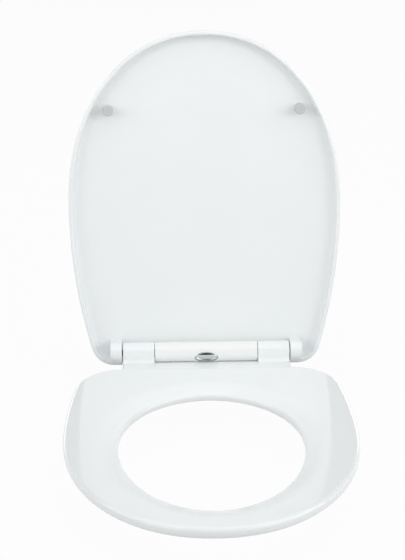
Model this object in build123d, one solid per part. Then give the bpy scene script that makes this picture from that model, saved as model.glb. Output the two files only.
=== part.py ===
from build123d import *
import os
from math import asin, copysign, cos, pi, sin, sqrt

# A soft-close toilet seat: a lid and a ring on one hinge line, a fixed hinge body between them
# with a push button that lets the seat off its two posts, and the fixings that hold the posts
# to the pan. Millimetres. z = 0 is the top of the pan, the front points to -y, and the origin
# is midway between the two fixing bolts. v below is the distance in front of the hinge line.

# Hinge line
AXIS_Z = 29.0  # height above the pan
AXIS_Y = 8.0  # distance behind the bolts
BARREL_R = 14.5  # outside of the hinge barrel
BLOCK_HALF = 114.5  # half the length of the barrel on the ring
BODY_HALF = 70.5  # half the length of the fixed hinge body
BODY_GAP = 0.8  # side gap between the fixed body and the ring's cheeks

# Ring
RING_HALF = 183.5
RING_WIDEST = 216.0
RING_FRONT = 436.5
RING_REAR = 46.0
RING_POWER = 2.1
RING_SIDE_R = 820.0
RING_CORNER_R = 62.0
RING_LOW = 13.0
RING_TOP = 29.0
RING_EDGE_R = 5.0
RING_FOOT_R = 8.0  # the outside turns well under, so that the ring looks thin
HOLE_FOOT_R = 1.5
HOLE_HALF = 115.0
HOLE_WIDEST = 236.0
HOLE_REAR = 113.0
HOLE_FRONT = 386.5
DISH_WIDTH = 22.0  # sloped band around the hole
DISH_DEPTH = 7.5
DISH_EDGE_R = 5.0
DISH_CREST_R = 45.0
RECESS_DEPTH = 6.0  # hollow underside
RECESS_OUT = 12.0
RECESS_IN = 8.0
WEB_LOW = 14.5  # underside of the bridge to the hinge
WEB_FRONT = 64.0  # where the bridge runs out into the ring's top
LIP_V = 12.2  # edge of the bridge in front of the fixed body
LIP_Z = 19.9
CHEEK_LAP = 4.0  # how far the bridge runs into the barrel
CHEEK_BLEND_R = 6.0
CHEEK_EDGE_R = 2.0
CHEEK_INNER_R = 0.6
WEB_LAP = 1.0  # how far the bridge runs into the cheeks sideways

# Lid, given as it lies when shut and then opened
LID_OPEN = 102.0  # degrees
LID_OVER = 1.5  # lid beyond the ring at the sides
LID_NOSE_OVER = 0.8  # and at the front
LID_HALF = RING_HALF + LID_OVER
LID_WIDEST = 202.0
LID_FRONT = RING_FRONT + LID_NOSE_OVER
LID_REAR = -19.5
LID_POWER = 2.13
LID_SIDE_R = 730.0
LID_CORNER_R = 32.0
LID_RIM = 7.0  # edge of the rim above the hinge axis
LID_INNER = 19.0  # inner face above the hinge axis
LID_OUTER = 24.5  # outer face above the hinge axis
LID_WALL = 6.0
LID_EDGE_R = 9.0
LID_INNER_R = 9.0
RIM_EDGE_R = 2.5
EAR_R = 14.2
EAR_WIDTH = 16.0
EAR_GAP = 1.5  # between an ear and the end of the barrel
EAR_LAP = 1.0  # how far an ear runs into the panel
EAR_EDGE_R = 1.2

# Buffers
LID_BUFFER_IN = 56.0  # from the lid's side
LID_BUFFER_BACK = 104.5  # from the lid's front
LID_BUFFER_R = 7.0
LID_BUFFER_EDGE_R = 1.5
LID_BUFFER_STEM_R = 2.5
LID_BUFFER_STEM = 3.0
SHUT_GAP = 0.4  # lid buffers clear of the ring
RING_BUFFER_LONG = 34.0
RING_BUFFER_WIDE = 14.0
RING_BUFFER_EDGE_R = 2.0
RING_BUFFER_STEM_R = 3.0
RING_BUFFER_STEM = 4.0
BUFFER_PAD = 4.0  # land of the ring around a buffer
FRONT_BUFFER_IN = 78.5  # from the ring's side
FRONT_BUFFER_BACK = 84.5  # from the ring's front
REAR_BUFFER_IN = 51.5
REAR_BUFFER_AHEAD = 36.0  # from the ring's rear edge

# Dampers, one in each cheek of the ring
DAMPER_R = 9.5
DAMPER_BORE_R = 7.5
DAMPER_CAP = 4.0
SHAFT_R = 4.0
SHAFT_FLAT = 2.6  # flat of a keyed shaft from its axis
TAIL_R = 6.0
TAIL_FLAT = 4.2
RUN = 0.08  # radial clearance of a running fit
PASS = 0.3  # radial clearance of a shaft that only passes through
PLAY = 0.2  # end play
CHEEK_WALL = 6.0
PIN_SEAT = 10.0
BUSH_R = 6.5
SOCKET_LAND = 2.0  # what is left of an ear beyond its socket

# Fixed hinge body
SHELL_WALL = 2.0
SHELL_EDGE_R = 0.6
TUB_HALF_V = 9.5
TUB_WALL = 1.5
TUB_FLOOR = 2.5
TUB_LOW = 6.0
TUB_TOP = 20.0
END_WALL = 7.0
SLEEVE_WALL = 3.5  # around a post
SPRING_WALL = 1.5
SPRING_WALL_V = -7.0
SPRING_WALL_HALF = 13.0
SPRING_WALL_TOP = 34.0

# Release button and lock plate
BUTTON_HALF = 15.7
BUTTON_HIGH = 7.4
BUTTON_DROP = 1.4
BUTTON_GAP = 0.35
BUTTON_SINK = 0.1  # button face inside the barrel
BUTTON_EDGE_R = 2.0
BUTTON_BACK_V = 8.6
BUTTON_TRAVEL = 3.5
PLATE_THICK = 2.0
PLATE_REAR_V = -4.8
PLATE_MID_V = 1.0
PLATE_MID_HALF = 24.0
PLATE_END_GAP = 1.5  # to the end walls of the tub
TAB_HALF = 5.0
TAB_THICK = 1.5
TAB_HIGH = 6.0
SPRING_X = 9.0
SPRING_R = 2.2
SPRING_WIRE_R = 0.35
SPRING_TURNS = 6

# Posts and fixings
BOLT_SPACING = 155.0
POST_IN = 13.5  # from the end of the fixed body
POST_R = 5.0
POST_HEAD_R = 3.5
POST_NECK_R = 2.4
POST_TOP = 26.0
POST_CLEAR = 0.1
SLOT_CLEAR = 0.3
FOOT_BOLT_R = 16.0
FOOT_POST_R = 11.0
GASKET = 1.5
GASKET_CLEAR = 0.6  # around a bolt's shoulder
BOLT_R = 4.0
THREAD_R = 3.9
BOLT_HEAD_R = 7.5
BOLT_HEAD = 3.0
SHOULDER_R = 5.0
SHOULDER_END = 0.3
BOLT_LENGTH = 38.0  # below the pan's top
PAN = 15.0  # thickness of the pan's flange
CONE_TOP_R = 8.0
CONE_LOW_R = 12.0
CONE_HIGH = 6.0
NUT_HUB_R = 8.0
NUT_HIGH = 10.0
WING_LONG = 20.0
WING_THICK = 4.0
WING_HIGH = 12.0
WING_DROP = 2.0  # wings below the top of the hub
WING_CORNER_R = 3.0
NUT_RUN = 0.05

# Modelling
CUT_PAST = 1.0  # how far a cut runs past the face it starts from
NEAR = 0.01  # tolerance when an edge is picked by its place


def block(x0, x1, y0, y1, z0, z1):
    size = (abs(x1 - x0), abs(y1 - y0), abs(z1 - z0))
    return Pos((x0 + x1) / 2, (y0 + y1) / 2, (z0 + z1) / 2) * Box(*size)


def rod(r, x0, x1):
    """Round bar on the hinge axis."""
    return Pos((x0 + x1) / 2, AXIS_Y, AXIS_Z) * Rot(0, 90, 0) * Cylinder(r, abs(x1 - x0))


def keyed(r, flat, x0, x1):
    """Bar on the hinge axis with one flat, as a keyed shaft end."""
    top = AXIS_Z + flat
    return rod(r, x0, x1) - block(x0, x1, AXIS_Y - 2 * r, AXIS_Y + 2 * r, top, top + 2 * r)


def disc(r, x, y, z0, z1):
    return Pos(x, y, (z0 + z1) / 2) * Cylinder(r, abs(z1 - z0))


def plan(half, widest, front, power, side_r, rear, corner_r):
    """Face of a lid or ring outline: full nose, bowed sides, round rear corners, straight back."""
    steps = 8
    nose = []
    for i in range(-steps, steps + 1):
        t = pi / 2 * i / steps
        x = half * copysign(abs(sin(t)) ** (2 / power), t)
        v = widest + (front - widest) * abs(cos(t)) ** (2 / power)
        nose.append((x, AXIS_Y - v))
    mid_x = half - side_r
    corner_v = rear + corner_r
    corner_x = mid_x + sqrt((side_r - corner_r) ** 2 - (widest - corner_v) ** 2)
    k = side_r / (side_r - corner_r)
    join = (mid_x + (corner_x - mid_x) * k, widest + (corner_v - widest) * k)
    turn = asin((widest - join[1]) / side_r) / 2
    bow = (mid_x + side_r * cos(turn), widest - side_r * sin(turn))
    lean = ((join[0] - corner_x) / corner_r, (join[1] - corner_v) / corner_r - 1)
    k = corner_r / sqrt(lean[0] ** 2 + lean[1] ** 2)
    bend = (corner_x + lean[0] * k, corner_v + lean[1] * k)
    end = (corner_x, rear)
    edges = [Spline(*nose, tangents=[(0, -1), (0, 1)], tangent_scalars=[1, 1])]
    for s in (1, -1):
        side = [(s * p[0], AXIS_Y - p[1]) for p in ((half, widest), bow, join, bend, end)]
        edges += [ThreePointArc(*side[:3]), ThreePointArc(*side[2:])]
    edges.append(Line((corner_x, AXIS_Y - rear), (-corner_x, AXIS_Y - rear)))
    return make_face(edges)


def inset(half, widest, front, power, side_r, rear, corner_r, by):
    return plan(half - by, widest, front - by, power, side_r - by, rear + by, corner_r - by)


def hole(grow):
    """Egg outline of the ring's opening, two half ellipses, grown evenly."""
    centre = (0, AXIS_Y - HOLE_WIDEST)
    half = HOLE_HALF + grow
    back = EllipticalCenterArc(centre, half, HOLE_WIDEST - HOLE_REAR + grow, 0, arc_size=180)
    nose = EllipticalCenterArc(centre, half, HOLE_FRONT - HOLE_WIDEST + grow, 180, arc_size=180)
    return make_face([back, nose])


def along_x(face, x0, x1):
    return extrude(Plane.YZ.offset(min(x0, x1)) * face, abs(x1 - x0))


def profile(*points):
    """Face in the y-z plane from (v, z) points."""
    return make_face(Polyline(*[(AXIS_Y - v, z) for v, z in points], close=True))


def opened(part):
    """A piece of the lid, turned from shut to open about the hinge axis."""
    return Pos(0, AXIS_Y, AXIS_Z) * Rot(-LID_OPEN, 0, 0) * Pos(0, -AXIS_Y, -AXIS_Z) * part


pieces = {}
sides = {"left": -1, "right": 1}
cheek_in = BODY_HALF + BODY_GAP
ear_in = BLOCK_HALF + EAR_GAP
ear_out = ear_in + EAR_WIDTH

# Lid: a dished panel with a rim, open at the back over the barrel, and two ears
LID = (LID_HALF, LID_WIDEST, LID_FRONT, LID_POWER, LID_SIDE_R, LID_REAR, LID_CORNER_R)
lid_low = AXIS_Z + LID_RIM
lid_in = AXIS_Z + LID_INNER
lid_top = AXIS_Z + LID_OUTER
lid = extrude(Pos(0, 0, lid_low) * plan(*LID), lid_top - lid_low)
lid = fillet(lid.edges().group_by(Axis.Z)[-1], LID_EDGE_R)
lid = fillet(lid.edges().group_by(Axis.Z)[0], RIM_EDGE_R)
hollow = extrude(Pos(0, 0, lid_low) * inset(*LID, LID_WALL), lid_in - lid_low)
below = extrude(Pos(0, 0, lid_low - CUT_PAST) * plan(*LID), CUT_PAST)
hollow = fillet((hollow + below).edges().group_by(Axis.Z)[-1], LID_INNER_R)
ledge = hollow.faces().filter_by_position(Axis.Z, lid_low - NEAR, lid_low + NEAR)[0]
hollow = fillet(ledge.inner_wires()[0].edges(), RIM_EDGE_R)
lid = lid - hollow
lid = lid - block(-ear_in, ear_in, AXIS_Y, AXIS_Y - LID_REAR + CUT_PAST, lid_low - CUT_PAST, lid_in)
ear = Pos(AXIS_Y, AXIS_Z) * Circle(EAR_R)
ear_top = lid_in + EAR_LAP
ear += profile((EAR_R, AXIS_Z), (-EAR_R, AXIS_Z), (-EAR_R, ear_top), (EAR_R, ear_top))
for s in sides.values():
    ear_block = along_x(ear, s * ear_in, s * ear_out)
    lid += fillet(ear_block.edges().filter_by(Axis.X, reverse=True), EAR_EDGE_R)
socket_end = ear_out - SOCKET_LAND
lid -= keyed(SHAFT_R, SHAFT_FLAT, -ear_in, -socket_end)
lid -= rod(BUSH_R, ear_in, socket_end)
for name, s in sides.items():
    x, y = s * (LID_HALF - LID_BUFFER_IN), AXIS_Y - (LID_FRONT - LID_BUFFER_BACK)
    lid -= disc(LID_BUFFER_STEM_R, x, y, lid_in - CUT_PAST, lid_in + LID_BUFFER_STEM)
    pad = disc(LID_BUFFER_R, x, y, RING_TOP + SHUT_GAP, lid_in)
    pad = fillet(pad.edges().group_by(Axis.Z)[0], LID_BUFFER_EDGE_R)
    pad += disc(LID_BUFFER_STEM_R, x, y, lid_in, lid_in + LID_BUFFER_STEM)
    pieces["lid_buffer_" + name] = opened(pad)
pieces["lid_cover"] = opened(lid)

# Ring: dished around its hole, hollow below, with a bridge and two cheeks on the hinge line
RING = (RING_HALF, RING_WIDEST, RING_FRONT, RING_POWER, RING_SIDE_R, RING_REAR, RING_CORNER_R)
ring = extrude(Pos(0, 0, RING_LOW) * plan(*RING), RING_TOP - RING_LOW)
ring = fillet(ring.edges().group_by(Axis.Z)[-1], RING_EDGE_R)
ring = fillet(ring.edges().group_by(Axis.Z)[0], RING_FOOT_R)
ring -= extrude(Pos(0, 0, RING_LOW - CUT_PAST) * hole(0), RING_TOP - RING_LOW + 2 * CUT_PAST)
dish = loft([
    Pos(0, 0, RING_TOP - DISH_DEPTH) * hole(0),
    Pos(0, 0, RING_TOP + CUT_PAST) * hole(DISH_WIDTH * (1 + CUT_PAST / DISH_DEPTH)),
])
ring -= dish
crest = ring.edges().filter_by_position(Axis.Z, RING_TOP - NEAR, RING_TOP + NEAR)
crest = crest.filter_by(lambda e: abs(e.bounding_box().max.X - HOLE_HALF - DISH_WIDTH) < NEAR)
ring = fillet(crest, DISH_CREST_R)
rim_z = RING_TOP - DISH_DEPTH
ring = fillet(ring.edges().filter_by_position(Axis.Z, rim_z - NEAR, rim_z + NEAR), DISH_EDGE_R)
foot = ring.edges().filter_by_position(Axis.Z, RING_LOW - NEAR, RING_LOW + NEAR)
ring = fillet(foot.filter_by(lambda e: abs(e.bounding_box().max.X - HOLE_HALF) < NEAR), HOLE_FOOT_R)
recess = inset(*RING, RECESS_OUT) - hole(RECESS_IN)
spots = {}
for name, s in sides.items():
    front_v, rear_v = RING_FRONT - FRONT_BUFFER_BACK, RING_REAR + REAR_BUFFER_AHEAD
    spots["front_" + name] = (s * (RING_HALF - FRONT_BUFFER_IN), AXIS_Y - front_v, -s * 45)
    spots["rear_" + name] = (s * (RING_HALF - REAR_BUFFER_IN), AXIS_Y - rear_v, 0)
pad_long = RING_BUFFER_LONG - RING_BUFFER_WIDE
for x, y, turn in spots.values():
    land = SlotCenterToCenter(pad_long, RING_BUFFER_WIDE + 2 * BUFFER_PAD)
    recess -= Pos(x, y) * Rot(0, 0, turn) * land
ring -= extrude(Pos(0, 0, RING_LOW - CUT_PAST) * recess, RECESS_DEPTH + CUT_PAST)
for name, (x, y, turn) in spots.items():
    ring -= disc(RING_BUFFER_STEM_R, x, y, RING_LOW - CUT_PAST, RING_LOW + RING_BUFFER_STEM)
    foot = SlotCenterToCenter(pad_long, RING_BUFFER_WIDE)
    foot = extrude(Pos(x, y, 0) * Rot(0, 0, turn) * foot, RING_LOW)
    foot = fillet(foot.edges().group_by(Axis.Z)[0], RING_BUFFER_EDGE_R)
    foot += disc(RING_BUFFER_STEM_R, x, y, RING_LOW, RING_LOW + RING_BUFFER_STEM)
    pieces["ring_buffer_" + name] = foot

# The bridge's top is an arc that runs level into the ring's top and drops to its lip
fall, reach = RING_TOP - LIP_Z, WEB_FRONT - LIP_V
web_r = (reach ** 2 + fall ** 2) / (2 * fall)


def web_z(v):
    return RING_TOP - web_r + sqrt(web_r ** 2 - (WEB_FRONT - v) ** 2)


def bridge_face(rear_v):
    """Section of the bridge from the ring back to a given distance in front of the axis."""
    middle = (WEB_FRONT + rear_v) / 2
    top = [(AXIS_Y - v, web_z(v)) for v in (WEB_FRONT, middle, rear_v)]
    rest = Polyline(top[2], (AXIS_Y - rear_v, WEB_LOW), (AXIS_Y - WEB_FRONT, WEB_LOW), top[0])
    return make_face([ThreePointArc(*top), *rest.edges()])


web = bridge_face(LIP_V)
cheek_v = LIP_V - CHEEK_LAP
cheek = bridge_face(cheek_v) + Pos(AXIS_Y, AXIS_Z) * Circle(BARREL_R)
cheek += profile((0, WEB_LOW), (cheek_v, WEB_LOW), (cheek_v, web_z(cheek_v)), (0, AXIS_Z))
nook = [p for p in cheek.vertices() if p.Y > WEB_LOW + NEAR and p.X > AXIS_Y - BARREL_R]
cheek = fillet(nook, CHEEK_BLEND_R)
ring += along_x(web, -cheek_in - WEB_LAP, cheek_in + WEB_LAP)
for s in sides.values():
    cheek_block = along_x(cheek, s * cheek_in, s * BLOCK_HALF)
    for x, r in ((BLOCK_HALF, CHEEK_EDGE_R), (cheek_in, CHEEK_INNER_R)):
        end = cheek_block.edges().filter_by_position(Axis.X, s * x - NEAR, s * x + NEAR)
        cheek_block = fillet(end.filter_by(lambda e: e.center().Z > AXIS_Z + NEAR), r)
    ring += cheek_block
wall_in = BLOCK_HALF - CHEEK_WALL
pin_in = wall_in - PIN_SEAT
ring -= rod(DAMPER_R + RUN, -cheek_in, -wall_in)
ring -= rod(SHAFT_R + PASS, -wall_in, -BLOCK_HALF)
ring -= rod(DAMPER_R, cheek_in, wall_in)
ring -= rod(SHAFT_R, wall_in, BLOCK_HALF)
pieces["seat_ring"] = ring

# Lid damper in the left cheek: its case is keyed to the fixed body, its rotor to the lid's ear
end_in = BODY_HALF - END_WALL
case = rod(DAMPER_R, -cheek_in - PLAY, -wall_in + PLAY)
case += keyed(TAIL_R, TAIL_FLAT, -end_in, -cheek_in - PLAY)
drum_in = cheek_in + PLAY + DAMPER_CAP
case -= rod(DAMPER_BORE_R, -drum_in, -wall_in + PLAY)
pieces["lid_damper_case"] = case
cap_in = wall_in - PLAY - DAMPER_CAP
pieces["lid_damper_cap"] = (
    rod(DAMPER_BORE_R, -cap_in, -wall_in + PLAY) - rod(SHAFT_R + RUN, -cap_in, -wall_in + PLAY))
rotor = rod(DAMPER_BORE_R - RUN, -drum_in - PLAY, -cap_in + PLAY)
rotor += rod(SHAFT_R, -cap_in + PLAY, -ear_in)
rotor += keyed(SHAFT_R, SHAFT_FLAT, -ear_in, -socket_end)
pieces["lid_damper_rotor"] = opened(rotor)

# Ring damper in the right cheek: its case turns with the ring, its rotor is keyed to the body
case_in = cheek_in + DAMPER_CAP
case = rod(DAMPER_R, case_in, wall_in) - rod(DAMPER_BORE_R, case_in, pin_in)
case -= rod(SHAFT_R, pin_in + PLAY, wall_in)
pieces["ring_damper_case"] = case
pieces["ring_damper_cap"] = (
    rod(DAMPER_BORE_R, case_in, case_in + DAMPER_CAP)
    - rod(SHAFT_R + RUN, case_in, case_in + DAMPER_CAP))
drum = case_in + DAMPER_CAP + PLAY
pieces["ring_damper_rotor"] = (
    rod(DAMPER_BORE_R - RUN, drum, pin_in - PLAY)
    + rod(SHAFT_R, cheek_in, drum)
    + keyed(SHAFT_R, SHAFT_FLAT, end_in, cheek_in))
pieces["lid_pivot_pin"] = rod(SHAFT_R, pin_in + PLAY, socket_end - PLAY)
pieces["lid_pivot_bush"] = rod(BUSH_R, ear_in, socket_end) - rod(SHAFT_R + RUN, ear_in, socket_end)

# Fixed hinge body: a tub on the posts with an end wall for each damper, and a shell over it
shell_in = BARREL_R - SHELL_WALL
base_half = BODY_HALF - BODY_GAP / 2
post_mid = BODY_HALF - POST_IN
front, back = AXIS_Y - TUB_HALF_V, AXIS_Y + TUB_HALF_V
base = block(-base_half, base_half, front, back, TUB_LOW, TUB_TOP)
base -= block(-end_in, end_in, front + TUB_WALL, back - TUB_WALL, TUB_LOW + TUB_FLOOR, TUB_TOP)
for s in sides.values():
    base += rod(shell_in - POST_CLEAR, s * end_in, s * base_half)
    bore_r = POST_R + POST_CLEAR
    sleeve = disc(bore_r + SLEEVE_WALL, s * post_mid, AXIS_Y, TUB_LOW, TUB_TOP)
    base += sleeve & block(-base_half, base_half, front, back, TUB_LOW, TUB_TOP)
    base -= disc(bore_r, s * post_mid, AXIS_Y, TUB_LOW, TUB_TOP)
wall_y = AXIS_Y - SPRING_WALL_V
base += block(-SPRING_WALL_HALF, SPRING_WALL_HALF, wall_y, wall_y + SPRING_WALL, TUB_LOW, SPRING_WALL_TOP)
base -= keyed(TAIL_R, TAIL_FLAT, -end_in, -base_half)
base -= keyed(SHAFT_R, SHAFT_FLAT, end_in, base_half)
pieces["hinge_base"] = base

button_z = AXIS_Z - BUTTON_DROP


def oval(grow, v0, v1):
    """Solid of the button's oval along y, between two distances in front of the axis."""
    face = Plane.XZ * Pos(0, button_z) * Ellipse(BUTTON_HALF + grow, BUTTON_HIGH + grow)
    return Pos(0, AXIS_Y - v0, 0) * extrude(face, v1 - v0)


cover = rod(BARREL_R, -BODY_HALF, BODY_HALF)
cover = fillet(cover.edges().filter_by(GeomType.CIRCLE), SHELL_EDGE_R)
cover -= rod(shell_in, -BODY_HALF, BODY_HALF)
low = AXIS_Z - 2 * BARREL_R
cover -= block(-BODY_HALF, BODY_HALF, AXIS_Y - BARREL_R, AXIS_Y + BARREL_R, low, TUB_TOP)
cover -= oval(BUTTON_GAP, 0, 2 * BARREL_R)
pieces["hinge_cover"] = cover

# Release button, the lock plate behind it and its two springs
button = oval(0, BUTTON_BACK_V, 2 * BARREL_R)
button &= rod(BARREL_R - BUTTON_SINK, -BODY_HALF, BODY_HALF)
button_face = button.faces().sort_by(Axis.Y)[0]
pieces["release_button"] = fillet(button_face.edges(), BUTTON_EDGE_R)
plate_low = TUB_TOP + PLAY
plate_top = plate_low + PLATE_THICK
plate_front = AXIS_Y - BUTTON_BACK_V
plate_half = end_in - PLATE_END_GAP
plate = block(-plate_half, plate_half, plate_front, AXIS_Y - PLATE_REAR_V, plate_low, plate_top)
plate -= block(
    -PLATE_MID_HALF, PLATE_MID_HALF, AXIS_Y - PLATE_MID_V, AXIS_Y - PLATE_REAR_V, plate_low, plate_top)
for s in sides.values():
    x = s * post_mid
    narrow = POST_NECK_R + SLOT_CLEAR
    plate -= disc(POST_HEAD_R + SLOT_CLEAR, x, AXIS_Y - BUTTON_TRAVEL, plate_low, plate_top)
    plate -= disc(narrow, x, AXIS_Y, plate_low, plate_top)
    plate -= block(x - narrow, x + narrow, AXIS_Y - BUTTON_TRAVEL, AXIS_Y, plate_low, plate_top)
plate += block(-TAB_HALF, TAB_HALF, plate_front, plate_front + TAB_THICK, plate_top, plate_top + TAB_HIGH)
pieces["lock_plate"] = plate
spring_long = wall_y - plate_front - 2 * SPRING_WIRE_R
for name, s in sides.items():
    start = (s * SPRING_X, plate_front + SPRING_WIRE_R, AXIS_Z)
    coil = Helix(spring_long / SPRING_TURNS, spring_long, SPRING_R, center=start, direction=(0, 1, 0))
    wire = Plane(coil @ 0, z_dir=coil % 0) * Circle(SPRING_WIRE_R)
    pieces["button_spring_" + name] = sweep(wire, coil, is_frenet=True)

# Posts on feet that are bolted to the pan, with their gaskets, washers and wing nuts
post_neck = plate_low - PLAY
post_head = plate_top + PLAY
for name, s in sides.items():
    x, post_x = s * BOLT_SPACING / 2, s * post_mid
    outline = make_hull([
        *(Pos(x, 0) * Circle(FOOT_BOLT_R)).edges(),
        *(Pos(post_x, AXIS_Y) * Circle(FOOT_POST_R)).edges(),
    ])
    foot = extrude(Pos(0, 0, GASKET) * outline, TUB_LOW - GASKET)
    foot += disc(POST_R, post_x, AXIS_Y, TUB_LOW, post_neck)
    foot += disc(POST_NECK_R, post_x, AXIS_Y, post_neck, post_head)
    head = disc(POST_HEAD_R, post_x, AXIS_Y, post_head, POST_TOP)
    foot += chamfer(head.edges().group_by(Axis.Z)[-1], POST_HEAD_R - POST_NECK_R)
    seat = TUB_LOW - BOLT_HEAD
    foot -= disc(BOLT_HEAD_R + POST_CLEAR, x, 0, seat, TUB_LOW)
    foot -= disc(SHOULDER_R + POST_CLEAR, x, 0, GASKET, seat)
    pieces["mounting_post_" + name] = foot
    gasket = extrude(outline, GASKET) - disc(SHOULDER_R + GASKET_CLEAR, x, 0, 0, GASKET)
    pieces["gasket_" + name] = gasket
    bolt = disc(BOLT_HEAD_R, x, 0, seat, TUB_LOW) + disc(SHOULDER_R, x, 0, SHOULDER_END, seat)
    bolt += disc(BOLT_R, x, 0, -PAN + SHOULDER_END, SHOULDER_END)
    bolt += disc(THREAD_R, x, 0, -BOLT_LENGTH, -PAN + SHOULDER_END)
    pieces["fixing_bolt_" + name] = bolt
    cone = Pos(x, 0, -PAN - CONE_HIGH / 2) * Cone(CONE_LOW_R, CONE_TOP_R, CONE_HIGH)
    cone -= disc(THREAD_R + POST_CLEAR, x, 0, -PAN - CONE_HIGH, -PAN)
    pieces["cone_washer_" + name] = cone
    nut_top = -PAN - CONE_HIGH
    nut = disc(NUT_HUB_R, x, 0, nut_top - NUT_HIGH, nut_top)
    wing_low, wing_top = nut_top - WING_HIGH, nut_top - WING_DROP
    wing = block(-WING_LONG, WING_LONG, -WING_THICK / 2, WING_THICK / 2, wing_low, wing_top)
    nut += Pos(x, 0, 0) * fillet(wing.edges().filter_by(Axis.Y), WING_CORNER_R)
    nut -= disc(THREAD_R + NUT_RUN, x, 0, wing_low, nut_top)
    pieces["wing_nut_" + name] = nut

os.makedirs("parts", exist_ok=True)
for name, piece in pieces.items():
    export_step(piece, "parts/" + name + ".step")
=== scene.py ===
from math import cos, pi, radians, sin, sqrt
import bmesh
import bpy
from mathutils import Matrix, Vector


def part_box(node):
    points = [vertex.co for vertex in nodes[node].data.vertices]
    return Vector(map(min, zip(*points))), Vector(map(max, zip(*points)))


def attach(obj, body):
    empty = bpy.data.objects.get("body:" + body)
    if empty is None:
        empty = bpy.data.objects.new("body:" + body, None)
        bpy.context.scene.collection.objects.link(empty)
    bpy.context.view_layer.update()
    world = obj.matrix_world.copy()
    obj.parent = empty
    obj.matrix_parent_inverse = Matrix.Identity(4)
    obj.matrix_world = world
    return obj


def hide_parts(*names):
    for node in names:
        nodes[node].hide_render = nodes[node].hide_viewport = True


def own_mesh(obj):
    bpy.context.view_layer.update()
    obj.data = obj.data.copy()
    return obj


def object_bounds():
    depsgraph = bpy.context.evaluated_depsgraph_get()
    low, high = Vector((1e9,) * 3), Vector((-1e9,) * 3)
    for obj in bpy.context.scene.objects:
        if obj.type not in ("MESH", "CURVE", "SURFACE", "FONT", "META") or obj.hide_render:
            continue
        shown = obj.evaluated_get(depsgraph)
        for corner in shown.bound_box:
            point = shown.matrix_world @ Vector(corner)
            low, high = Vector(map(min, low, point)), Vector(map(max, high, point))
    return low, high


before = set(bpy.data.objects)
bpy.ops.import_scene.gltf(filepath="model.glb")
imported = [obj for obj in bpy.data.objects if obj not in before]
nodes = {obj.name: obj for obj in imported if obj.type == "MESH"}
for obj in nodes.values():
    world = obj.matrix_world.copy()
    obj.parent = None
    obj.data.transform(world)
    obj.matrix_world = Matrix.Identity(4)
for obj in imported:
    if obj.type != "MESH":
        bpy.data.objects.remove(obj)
cad_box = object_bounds()


# Fixing bolts. Two bolts clamp the seat's feet to the pan's rear flange. Each is turned from
# stainless steel bar, with a flat round head, a shoulder that centres it in the foot, and a
# rolled thread for the wing nut.
MM = 0.001
BOLT_X = 77.5 * MM
HEAD_R, HEAD_TOP, HEAD_LOW = 7.5 * MM, 6 * MM, 3 * MM
BOLT_EDGE = 0.5 * MM
SHOULDER_R, SHOULDER_LOW = 5 * MM, 0.3 * MM
STUD_R, STUD_LOW = 4 * MM, -14.7 * MM
CREST_R, ROOT_R, PITCH = 3.9 * MM, 3.25 * MM, 1.25 * MM
CREST_START, CREST_END = 0.42, 0.58  # flat crest, as shares of the pitch
TIP_Z, TIP_R = -38 * MM, 2.85 * MM
TIP_CHAMFER = 0.8 * MM
TURN_STEPS = 32
LEAD_TURNS, SPARE_TURNS = 2, 4  # thread wound past both ends, to be cut off
WELD = 0.02 * MM
SHARP_ANGLE = radians(35)


def to_linear(code):
    """Linear colour of an sRGB hex value."""
    parts = [int(code[i:i + 2], 16) / 255 for i in (1, 3, 5)]
    return [p / 12.92 if p <= 0.04045 else ((p + 0.055) / 1.055) ** 2.4 for p in parts] + [1]


def add_node(owner, kind, inputs, **settings):
    """Adds one shader node. Each input is a plain value, or the socket that feeds it."""
    node = owner.node_tree.nodes.new(kind)
    for name, value in settings.items():
        setattr(node, name, value)
    for name, value in inputs.items():
        if isinstance(value, bpy.types.NodeSocket):
            owner.node_tree.links.new(value, node.inputs[name])
        else:
            node.inputs[name].default_value = value
    return node


def new_material(name):
    """A material with no nodes yet."""
    material = bpy.data.materials.new(name)
    material.use_nodes = True
    material.node_tree.nodes.clear()
    return material


def open_edges(shape):
    """The open edges of a bmesh, which are the rim that it grows from."""
    return [edge for edge in shape.edges if edge.is_boundary]


def grow(shape, rim):
    """Extrudes an open rim, and gives the new rim's edges and vertices."""
    made = bmesh.ops.extrude_edge_only(shape, edges=rim)["geom"]
    edges = [part for part in made if isinstance(part, bmesh.types.BMEdge)]
    return edges, [part for part in made if isinstance(part, bmesh.types.BMVert)]


def new_piece(name, shape, material, body, replaced):
    """Makes a finished object of a bmesh, shaded smooth except over sharp edges."""
    bmesh.ops.recalc_face_normals(shape, faces=shape.faces)
    mesh = bpy.data.meshes.new(name)
    shape.to_mesh(mesh)
    shape.free()
    mesh.shade_smooth()
    mesh.set_sharp_from_angle(angle=SHARP_ANGLE)
    mesh.materials.append(material)
    piece = bpy.data.objects.new(name, mesh)
    bpy.context.scene.collection.objects.link(piece)
    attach(piece, body)
    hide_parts(replaced)
    return piece


# Stainless steel, turned: cool grey, with fine tool marks around the axis that stretch highlights.
TOOL_MARK = 0.35 * MM
steel = new_material("stainless_steel_turned")
place = add_node(steel, "ShaderNodeTexCoord", {})
marks = add_node(steel, "ShaderNodeMapping", {
    "Vector": place.outputs["Object"], "Scale": (0.1, 0.1, 1)})
grooves = add_node(steel, "ShaderNodeTexNoise", {
    "Vector": marks.outputs["Vector"], "Scale": 1 / TOOL_MARK, "Detail": 3})
sheen = add_node(steel, "ShaderNodeMapRange", {
    "Value": grooves.outputs["Fac"], "To Min": 0.24, "To Max": 0.38})
scored = add_node(steel, "ShaderNodeBump", {
    "Height": grooves.outputs["Fac"], "Strength": 0.25, "Distance": 0.01 * MM})
surface = add_node(steel, "ShaderNodeBsdfPrincipled", {
    "Base Color": to_linear("#C4C5C6"), "Metallic": 1,
    "Roughness": sheen.outputs["Result"], "Normal": scored.outputs["Normal"]})
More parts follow.
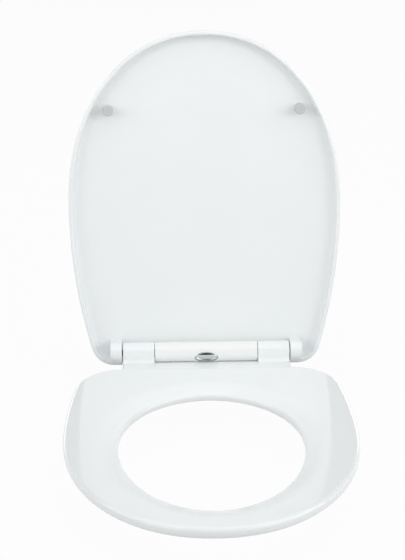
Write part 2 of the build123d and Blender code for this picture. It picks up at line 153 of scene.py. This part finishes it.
add_node(steel, "ShaderNodeOutputMaterial", {"Surface": surface.outputs["BSDF"]})

for side, x in (("left", -BOLT_X), ("right", BOLT_X)):
    bolt = bmesh.new()
    tooth = [(ROOT_R, 0), (CREST_R, CREST_START), (CREST_R, CREST_END), (ROOT_R, 1)]
    points = []
    for r, share in tooth:
        points.append(bolt.verts.new((x + r, 0, STUD_LOW + (LEAD_TURNS - share) * PITCH)))
    flanks = [bolt.edges.new(pair) for pair in zip(points, points[1:])]
    turns = int((STUD_LOW - TIP_Z) / PITCH) + SPARE_TURNS
    bmesh.ops.spin(
        bolt, geom=points + flanks, cent=(x, 0, 0), axis=(0, 0, 1), angle=2 * pi * turns,
        dvec=(0, 0, -PITCH / TURN_STEPS), steps=turns * TURN_STEPS)
    bmesh.ops.remove_doubles(bolt, verts=bolt.verts, dist=WELD)
    for z, way in ((STUD_LOW, 1), (TIP_Z + TIP_CHAMFER, -1)):
        bmesh.ops.bisect_plane(
            bolt, geom=bolt.verts[:] + bolt.edges[:] + bolt.faces[:], plane_co=(x, 0, z),
            plane_no=(0, 0, way), clear_outer=True)
    top_rim = [e for e in open_edges(bolt) if e.verts[0].co.z > (STUD_LOW + TIP_Z) / 2]
    low_rim = [e for e in open_edges(bolt) if e not in top_rim]
    upward = [
        (STUD_R, STUD_LOW + BOLT_EDGE), (STUD_R, SHOULDER_LOW), (SHOULDER_R, SHOULDER_LOW),
        (SHOULDER_R, HEAD_LOW), (HEAD_R, HEAD_LOW), (HEAD_R, HEAD_TOP - BOLT_EDGE),
        (HEAD_R - BOLT_EDGE, HEAD_TOP)]
    for rim, steps in ((top_rim, upward), (low_rim, [(TIP_R, TIP_Z)])):
        for r, z in steps:
            rim, verts = grow(bolt, rim)
            for vert in verts:
                out = Vector((vert.co.x - x, vert.co.y, 0)).normalized()
                vert.co = Vector((x, 0, z)) + out * r
        bmesh.ops.edgeloop_fill(bolt, edges=rim)
    new_piece("bolt_" + side, bolt, steel, "base", "fixing_bolt_" + side)


# Gaskets, cone washers and buffers. The soft grey pieces that meet the pan and soften the lid
# and ring as they come down. They are moulded from a thermoplastic rubber and pressed or
# pushed into place.
SOFT_NODES = [
    "gasket_left", "gasket_right", "cone_washer_left", "cone_washer_right",
    "ring_buffer_front_left", "ring_buffer_front_right", "ring_buffer_rear_left",
    "ring_buffer_rear_right", "lid_buffer_left", "lid_buffer_right"]

# Thermoplastic rubber, moulded: even mid grey, dull, with a fine grain from a blasted mould.
RUBBER_GRAIN = 0.5 * MM
RUBBER_CLOUD = 12 * MM
rubber = new_material("thermoplastic_rubber_grey")
place = add_node(rubber, "ShaderNodeTexCoord", {})
grain = add_node(rubber, "ShaderNodeTexNoise", {
    "Vector": place.outputs["Object"], "Scale": 1 / RUBBER_GRAIN, "Detail": 2})
cloud = add_node(rubber, "ShaderNodeTexNoise", {
    "Vector": place.outputs["Object"], "Scale": 1 / RUBBER_CLOUD, "Detail": 2})
tone = add_node(rubber, "ShaderNodeMix", {
    "Factor": cloud.outputs["Fac"], "A": to_linear("#BFC1C0"), "B": to_linear("#C6C8C6")},
    data_type="RGBA")
dull = add_node(rubber, "ShaderNodeMapRange", {
    "Value": grain.outputs["Fac"], "To Min": 0.5, "To Max": 0.66})
grained = add_node(rubber, "ShaderNodeBump", {
    "Height": grain.outputs["Fac"], "Strength": 0.3, "Distance": 0.03 * MM})
surface = add_node(rubber, "ShaderNodeBsdfPrincipled", {
    "Base Color": tone.outputs["Result"], "Roughness": dull.outputs["Result"], "IOR": 1.5,
    "Normal": grained.outputs["Normal"]})
add_node(rubber, "ShaderNodeOutputMaterial", {"Surface": surface.outputs["BSDF"]})
for name in SOFT_NODES:
    nodes[name].material_slots[0].material = rubber


# Wing nuts, feet and hinge base. The fixed pieces that carry the seat: moulded from white
# polypropylene, with the even satin face that a spark-eroded mould leaves.
FIXED_NODES = [
    "wing_nut_left", "wing_nut_right", "mounting_post_left", "mounting_post_right", "hinge_base"]

# Polypropylene, spark-eroded mould: soft white with a wide sheen and very small pits.
SPARK_GRAIN = 0.8 * MM  # about twice as coarse as the real grain, so that it shows
SATIN_CLOUD = 25 * MM
satin = new_material("polypropylene_satin_white")
place = add_node(satin, "ShaderNodeTexCoord", {})
spark = add_node(satin, "ShaderNodeTexVoronoi", {
    "Vector": place.outputs["Object"], "Scale": 1 / SPARK_GRAIN})
flow = add_node(satin, "ShaderNodeTexNoise", {
    "Vector": place.outputs["Object"], "Scale": 1 / SATIN_CLOUD, "Detail": 3})
tone = add_node(satin, "ShaderNodeMix", {
    "Factor": flow.outputs["Fac"], "A": to_linear("#E6E8E8"), "B": to_linear("#ECEDED")},
    data_type="RGBA")
haze = add_node(satin, "ShaderNodeMapRange", {
    "Value": flow.outputs["Fac"], "To Min": 0.36, "To Max": 0.46})
pitted = add_node(satin, "ShaderNodeBump", {
    "Height": spark.outputs["Distance"], "Strength": 0.15, "Distance": 0.03 * MM})
surface = add_node(satin, "ShaderNodeBsdfPrincipled", {
    "Base Color": tone.outputs["Result"], "Roughness": haze.outputs["Result"], "IOR": 1.49,
    "Normal": pitted.outputs["Normal"]})
add_node(satin, "ShaderNodeOutputMaterial", {"Surface": surface.outputs["BSDF"]})
for name in FIXED_NODES:
    nodes[name].material_slots[0].material = satin


# Lock plate and pivot pin. A stamped plate behind the button has two keyhole slots that grip
# the necks of the posts until the button pushes it back. The pin carries the lid's right ear.
# Both are stainless steel.
# Stainless steel, rolled: fine straight lines along the sheet, brighter than turned bar.
ROLL_LINE = 0.3 * MM
sheet = new_material("stainless_steel_rolled")
place = add_node(sheet, "ShaderNodeTexCoord", {})
lines = add_node(sheet, "ShaderNodeMapping", {
    "Vector": place.outputs["Object"], "Scale": (0.03, 1, 1)})
rolled = add_node(sheet, "ShaderNodeTexNoise", {
    "Vector": lines.outputs["Vector"], "Scale": 1 / ROLL_LINE, "Detail": 3})
sheen = add_node(sheet, "ShaderNodeMapRange", {
    "Value": rolled.outputs["Fac"], "To Min": 0.2, "To Max": 0.34})
lined = add_node(sheet, "ShaderNodeBump", {
    "Height": rolled.outputs["Fac"], "Strength": 0.2, "Distance": 0.008 * MM})
surface = add_node(sheet, "ShaderNodeBsdfPrincipled", {
    "Base Color": to_linear("#CBCCCD"), "Metallic": 1,
    "Roughness": sheen.outputs["Result"], "Normal": lined.outputs["Normal"]})
add_node(sheet, "ShaderNodeOutputMaterial", {"Surface": surface.outputs["BSDF"]})
for name in ("lock_plate", "lid_pivot_pin"):
    nodes[name].material_slots[0].material = sheet


# Button springs. Two short coils of drawn stainless wire between the button and a wall of the
# hinge base, which shorten towards that wall as the button goes in. Here they are built at rest
# and stay with the base.
WIRE_R = 0.35 * MM
COIL_TURNS, COIL_STEPS, WIRE_SIDES = 6, 24, 10
for side in ("left", "right"):
    low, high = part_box("button_spring_" + side)
    middle = (low + high) / 2
    coil_r = (high.x - low.x) / 2 - WIRE_R
    coil_long = high.y - low.y - 2 * WIRE_R
    coil = bmesh.new()
    wire = bmesh.ops.create_circle(coil, segments=WIRE_SIDES, radius=WIRE_R)["verts"]
    bmesh.ops.rotate(coil, verts=wire, matrix=Matrix.Rotation(pi / 2, 3, "Y"))
    bmesh.ops.translate(coil, verts=wire, vec=(middle.x, low.y + WIRE_R, middle.z + coil_r))
    bmesh.ops.spin(
        coil, geom=coil.verts[:] + coil.edges[:], cent=middle, axis=(0, 1, 0),
        angle=2 * pi * COIL_TURNS, dvec=(0, coil_long / (COIL_TURNS * COIL_STEPS), 0),
        steps=COIL_TURNS * COIL_STEPS)
    bmesh.ops.holes_fill(coil, edges=open_edges(coil), sides=WIRE_SIDES)
    spring = new_piece(
        "spring_" + side, coil, steel, "base", "button_spring_" + side)
    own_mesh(spring)


# Release button. An oval of plated plastic in the front of the hinge cover, pushed in by a thumb
# to let the seat off its posts. It follows the round of the hinge, with a domed face inside a
# raised rim.
AXIS_Y, AXIS_Z = 8 * MM, 29 * MM
FACE_R = 14.4 * MM
RELIEF = 1.6 * MM  # depth of the rim and of the dome
FOOT_GAP = 1.2 * MM  # dark slot left below the button
RIM_SHARE = 0.13  # width of the raised rim, as a share of the oval
OVAL_SIDES, RIM_RINGS, DOME_RINGS = 96, 10, 14
low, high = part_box("release_button")
low.z += FOOT_GAP
middle = (low + high) / 2
half = (high - low) / 2
rings = []
for step in range(RIM_RINGS + 1):
    turn = pi * step / RIM_RINGS
    rings.append((1 - RIM_SHARE * (1 - cos(turn)) / 2, RELIEF * (1 - sin(turn))))
for step in range(1, DOME_RINGS):
    share = 1 - step / DOME_RINGS
    rings.append(((1 - RIM_SHARE) * share, RELIEF * share ** 2))
button = bmesh.new()
bmesh.ops.create_circle(button, cap_ends=True, segments=OVAL_SIDES, radius=1)
bmesh.ops.rotate(button, verts=button.verts, matrix=Matrix.Rotation(pi / 2, 3, "X"))
bmesh.ops.scale(button, verts=button.verts, vec=(half.x, 1, half.z))
bmesh.ops.translate(button, verts=button.verts, vec=(middle.x, high.y, middle.z))
rim = open_edges(button)
last_share = 1
for share, depth in rings:
    rim, verts = grow(button, rim)
    shrink = share / last_share
    bmesh.ops.scale(
        button, verts=verts, vec=(shrink, 1, shrink), space=Matrix.Translation(-middle))
    for vert in verts:
        vert.co.y = AXIS_Y - sqrt(FACE_R ** 2 - (vert.co.z - AXIS_Z) ** 2) + depth
    last_share = share
bmesh.ops.edgeloop_fill(button, edges=rim)

# Chrome plate on plastic: a near mirror with a faint ripple left by the moulding under it.
RIPPLE = 3 * MM
chrome = new_material("chrome_plate_bright")
place = add_node(chrome, "ShaderNodeTexCoord", {})
ripple = add_node(chrome, "ShaderNodeTexNoise", {
    "Vector": place.outputs["Object"], "Scale": 1 / RIPPLE, "Detail": 1})
polish = add_node(chrome, "ShaderNodeMapRange", {
    "Value": ripple.outputs["Fac"], "To Min": 0.05, "To Max": 0.1})
rippled = add_node(chrome, "ShaderNodeBump", {
    "Height": ripple.outputs["Fac"], "Strength": 0.1, "Distance": 0.02 * MM})
surface = add_node(chrome, "ShaderNodeBsdfPrincipled", {
    "Base Color": to_linear("#E3E5E7"), "Metallic": 1,
    "Roughness": polish.outputs["Result"], "Normal": rippled.outputs["Normal"]})
add_node(chrome, "ShaderNodeOutputMaterial", {"Surface": surface.outputs["BSDF"]})
new_piece("button", button, chrome, "release", "release_button")


# Hinge cover. A half-round shell that snaps over the hinge base between the two cheeks of the
# ring, moulded from glossy white ABS.
# ABS, polished mould: a little warmer and softer in its shine than the seat.
PEEL = 5 * MM
ABS_CLOUD = 40 * MM
abs_white = new_material("abs_gloss_white")
place = add_node(abs_white, "ShaderNodeTexCoord", {})
peel = add_node(abs_white, "ShaderNodeTexNoise", {
    "Vector": place.outputs["Object"], "Scale": 1 / PEEL, "Detail": 2})
cloud = add_node(abs_white, "ShaderNodeTexNoise", {
    "Vector": place.outputs["Object"], "Scale": 1 / ABS_CLOUD, "Detail": 2})
tone = add_node(abs_white, "ShaderNodeMix", {
    "Factor": cloud.outputs["Fac"], "A": to_linear("#EDEFEE"), "B": to_linear("#F1F3F2")},
    data_type="RGBA")
gloss = add_node(abs_white, "ShaderNodeMapRange", {
    "Value": peel.outputs["Fac"], "To Min": 0.16, "To Max": 0.24})
peeled = add_node(abs_white, "ShaderNodeBump", {
    "Height": peel.outputs["Fac"], "Strength": 0.1, "Distance": 0.02 * MM})
surface = add_node(abs_white, "ShaderNodeBsdfPrincipled", {
    "Base Color": tone.outputs["Result"], "Roughness": gloss.outputs["Result"], "IOR": 1.53,
    "Normal": peeled.outputs["Normal"]})
add_node(abs_white, "ShaderNodeOutputMaterial", {"Surface": surface.outputs["BSDF"]})
nodes["hinge_cover"].material_slots[0].material = abs_white


# Dampers. One rotary damper in each cheek lets the lid and the ring sink slowly. Case, cap and
# rotor are moulded from dark glass-filled nylon and filled with thick grease, and the lid's
# right ear turns on a bush of the same.
DAMPER_NODES = [
    "lid_damper_case", "lid_damper_cap", "lid_damper_rotor", "lid_pivot_bush",
    "ring_damper_case", "ring_damper_cap", "ring_damper_rotor"]

# Glass-filled nylon: dark grey and dull, flecked by fibres at the skin.
FIBRE = 0.4 * MM
nylon = new_material("glass_filled_nylon_grey")
place = add_node(nylon, "ShaderNodeTexCoord", {})
stretch = add_node(nylon, "ShaderNodeMapping", {
    "Vector": place.outputs["Object"], "Scale": (0.2, 1, 1)})
fibre = add_node(nylon, "ShaderNodeTexNoise", {
    "Vector": stretch.outputs["Vector"], "Scale": 1 / FIBRE, "Detail": 3})
tone = add_node(nylon, "ShaderNodeMix", {
    "Factor": fibre.outputs["Fac"], "A": to_linear("#5C5E60"), "B": to_linear("#6E7072")},
    data_type="RGBA")
dull = add_node(nylon, "ShaderNodeMapRange", {
    "Value": fibre.outputs["Fac"], "To Min": 0.42, "To Max": 0.6})
fibred = add_node(nylon, "ShaderNodeBump", {
    "Height": fibre.outputs["Fac"], "Strength": 0.2, "Distance": 0.02 * MM})
surface = add_node(nylon, "ShaderNodeBsdfPrincipled", {
    "Base Color": tone.outputs["Result"], "Roughness": dull.outputs["Result"], "IOR": 1.53,
    "Normal": fibred.outputs["Normal"]})
add_node(nylon, "ShaderNodeOutputMaterial", {"Surface": surface.outputs["BSDF"]})
for name in DAMPER_NODES:
    nodes[name].material_slots[0].material = nylon


# Ring and lid. Each is one heavy moulding of urea resin, pressed hot in a polished steel mould
# and turned on the hinge line: the ring by its two cheeks, the lid by its two ears.
# Urea moulding: a hard cool white with a deep gloss, and a very faint waviness in reflections.
WAVE = 9 * MM
UREA_CLOUD = 90 * MM
urea = new_material("urea_moulding_polished_white")
place = add_node(urea, "ShaderNodeTexCoord", {})
wave = add_node(urea, "ShaderNodeTexNoise", {
    "Vector": place.outputs["Object"], "Scale": 1 / WAVE, "Detail": 2})
cloud = add_node(urea, "ShaderNodeTexNoise", {
    "Vector": place.outputs["Object"], "Scale": 1 / UREA_CLOUD, "Detail": 2})
tone = add_node(urea, "ShaderNodeMix", {
    "Factor": cloud.outputs["Fac"], "A": to_linear("#EBEFF0"), "B": to_linear("#EFF2F3")},
    data_type="RGBA")
gloss = add_node(urea, "ShaderNodeMapRange", {
    "Value": wave.outputs["Fac"], "To Min": 0.05, "To Max": 0.09})
waved = add_node(urea, "ShaderNodeBump", {
    "Height": wave.outputs["Fac"], "Strength": 0.08, "Distance": 0.02 * MM})
surface = add_node(urea, "ShaderNodeBsdfPrincipled", {
    "Base Color": tone.outputs["Result"], "Roughness": gloss.outputs["Result"], "IOR": 1.56,
    "Normal": waved.outputs["Normal"]})
add_node(urea, "ShaderNodeOutputMaterial", {"Surface": surface.outputs["BSDF"]})
for name in ("seat_ring", "lid_cover"):
    nodes[name].material_slots[0].material = urea


# Floor. A plain white sheet of studio paper under the tips of the bolts. It shows white to the
# camera and in reflections, and still takes a faint shadow.
FLOOR_SIDE = 16.0
FLOOR_GAP = 0.5 * MM
SHADOW_SHARE = 0.04
paper = new_material("studio_paper_white")
ray = add_node(paper, "ShaderNodeLightPath", {})
direct = add_node(paper, "ShaderNodeMath", {
    0: ray.outputs["Is Camera Ray"], 1: ray.outputs["Is Glossy Ray"]}, operation="MAXIMUM")
seen = add_node(paper, "ShaderNodeMath", {
    0: direct.outputs[0], 1: ray.outputs["Is Transmission Ray"]}, operation="MAXIMUM")
glow_share = add_node(paper, "ShaderNodeMath", {
    0: seen.outputs[0], 1: 1 - SHADOW_SHARE}, operation="MULTIPLY")
matt = add_node(paper, "ShaderNodeBsdfDiffuse", {"Color": to_linear("#D2D2D2")})
glow = add_node(paper, "ShaderNodeEmission", {"Color": (1, 1, 1, 1), "Strength": 1})
mix = add_node(paper, "ShaderNodeMixShader", {
    0: glow_share.outputs[0], 1: matt.outputs[0], 2: glow.outputs[0]})
add_node(paper, "ShaderNodeOutputMaterial", {"Surface": mix.outputs[0]})
floor_shape = bmesh.new()
bmesh.ops.create_grid(floor_shape, x_segments=1, y_segments=1, size=FLOOR_SIDE / 2)
bmesh.ops.translate(
    floor_shape, verts=floor_shape.verts, vec=(0, 0, cad_box[0].z - FLOOR_GAP))
floor_mesh = bpy.data.meshes.new("floor")
floor_shape.to_mesh(floor_mesh)
floor_shape.free()
floor_mesh.materials.append(paper)
floor = bpy.data.objects.new("floor", floor_mesh)
bpy.context.scene.collection.objects.link(floor)


# Light. Large softboxes all around, aimed at the middle of the seat, in a room that is white
# near the floor and dim above, as the shine of the ring and button shows.
TARGET = Vector((0, -0.1, 0.12))
SOFTBOXES = {  # place and side in metres, power in watts
    "top": ((0.0, -0.2, 2.2), 3.0, 34.5),
    "left": ((-2.2, -0.9, 1.2), 1.6, 15.5),
    "right": ((2.2, -0.9, 1.2), 1.6, 20.0),
    "front_left": ((-1.6, -2.2, 1.5), 1.4, 11.5),
    "front_right": ((1.6, -2.2, 1.5), 1.4, 14.0),
    "rear_left": ((-1.5, 2.4, 0.7), 1.2, 7.0),
    "rear_right": ((1.5, 2.4, 0.7), 1.2, 10.0),
}
for name, (spot, side, power) in SOFTBOXES.items():
    lamp = bpy.data.lights.new(name, "AREA")
    lamp.shape = "SQUARE"
    lamp.size = side
    lamp.energy = power
    holder = bpy.data.objects.new("softbox_" + name, lamp)
    holder.location = spot
    holder.rotation_euler = (TARGET - Vector(spot)).to_track_quat("-Z", "Y").to_euler()
    bpy.context.scene.collection.objects.link(holder)
LOW_SKY, HIGH_SKY = sin(radians(13)), sin(radians(21))
SKY_DIM = 0.04
world = bpy.data.worlds.new("studio")
world.use_nodes = True
world.node_tree.nodes.clear()
way = add_node(world, "ShaderNodeTexCoord", {})
axes = add_node(world, "ShaderNodeSeparateXYZ", {"Vector": way.outputs["Generated"]})
fall = add_node(world, "ShaderNodeMapRange", {
    "Value": axes.outputs["Z"], "From Min": LOW_SKY, "From Max": HIGH_SKY,
    "To Min": 1, "To Max": SKY_DIM}, interpolation_type="SMOOTHSTEP")
air = add_node(world, "ShaderNodeBackground", {"Strength": fall.outputs["Result"]})
add_node(world, "ShaderNodeOutputWorld", {"Surface": air.outputs["Background"]})
bpy.context.scene.world = world


# Camera. It stands in front of the seat and looks a little down on it, as in the photograph.
LENS, SENSOR = 90, 36
STAND = Vector((-0.04883, -1.72724, 0.89401))
PITCH_DOWN, YAW, ROLL = radians(23.552), radians(1.4585), radians(0.164)
camera = bpy.data.cameras.new("camera")
camera.lens = LENS
camera.sensor_width = SENSOR
camera.clip_end = FLOOR_SIDE * 2
eye = bpy.data.objects.new("camera", camera)
tilt = Matrix.Rotation(pi / 2 - PITCH_DOWN, 4, "X") @ Matrix.Rotation(-ROLL, 4, "Z")
eye.matrix_world = Matrix.Translation(STAND) @ Matrix.Rotation(-YAW, 4, "Z") @ tilt
bpy.context.scene.collection.objects.link(eye)
bpy.context.scene.camera = eye
bpy.context.scene.view_settings.view_transform = "Standard"
